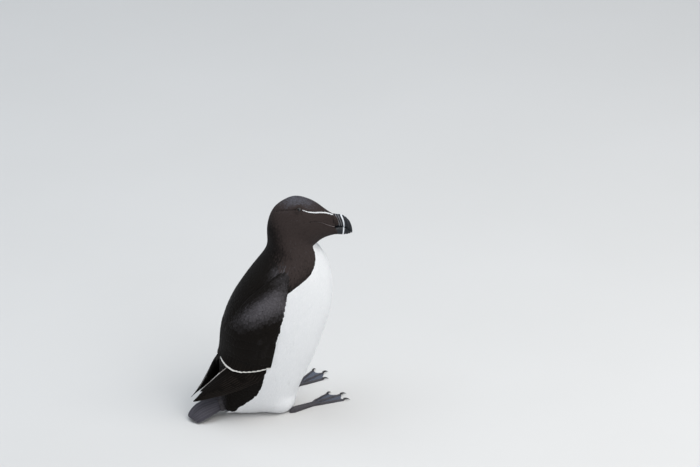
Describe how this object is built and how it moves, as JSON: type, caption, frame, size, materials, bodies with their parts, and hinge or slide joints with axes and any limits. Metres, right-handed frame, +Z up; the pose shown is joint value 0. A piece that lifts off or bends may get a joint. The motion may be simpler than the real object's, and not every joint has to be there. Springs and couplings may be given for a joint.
{
  "type": "razorbill",
  "caption": "Life-size still model of an adult razorbill in breeding plumage, standing upright on its shanks with wings folded and head in profile.",
  "frame": {"origin": "on the floor, at the middle of the flat under the belly, in the body's plane of symmetry", "axes": "+X the way the body faces, +Y to the bird's left, +Z up"},
  "size_m": [0.2026, 0.1226, 0.2555],
  "materials": {
    "brown_black_feathers": "velvety short feathers",
    "black_feathers": "smooth overlapping feathers",
    "white_feathers": "dense silky feathers",
    "flight_feathers": "stiff vanes, slight sheen",
    "tail_feathers": "stiff vanes, slate sheen",
    "bill_horn": "polished horn with a white band",
    "eye": "wet, near black",
    "webbed_skin": "scaled and wrinkled skin",
    "claw_horn": "satin horn"
  },
  "bodies": {
    "root": {"head": "brown_black_feathers", "neck": "brown_black_feathers", "trunk": "white_feathers", "rump": "black_feathers", "thigh_left": "white_feathers", "thigh_right": "white_feathers", "wing_left": "black_feathers", "wing_right": "black_feathers", "wingtip_left": "flight_feathers", "wingtip_right": "flight_feathers", "tail": "tail_feathers", "bill_upper": "bill_horn", "bill_lower": "bill_horn", "eye_left": "eye", "eye_right": "eye", "foot_left": "webbed_skin", "foot_right": "webbed_skin", "claw_left_outer": "claw_horn", "claw_left_middle": "claw_horn", "claw_left_inner": "claw_horn", "claw_right_outer": "claw_horn", "claw_right_middle": "claw_horn", "claw_right_inner": "claw_horn"}
  },
  "joints": []
}
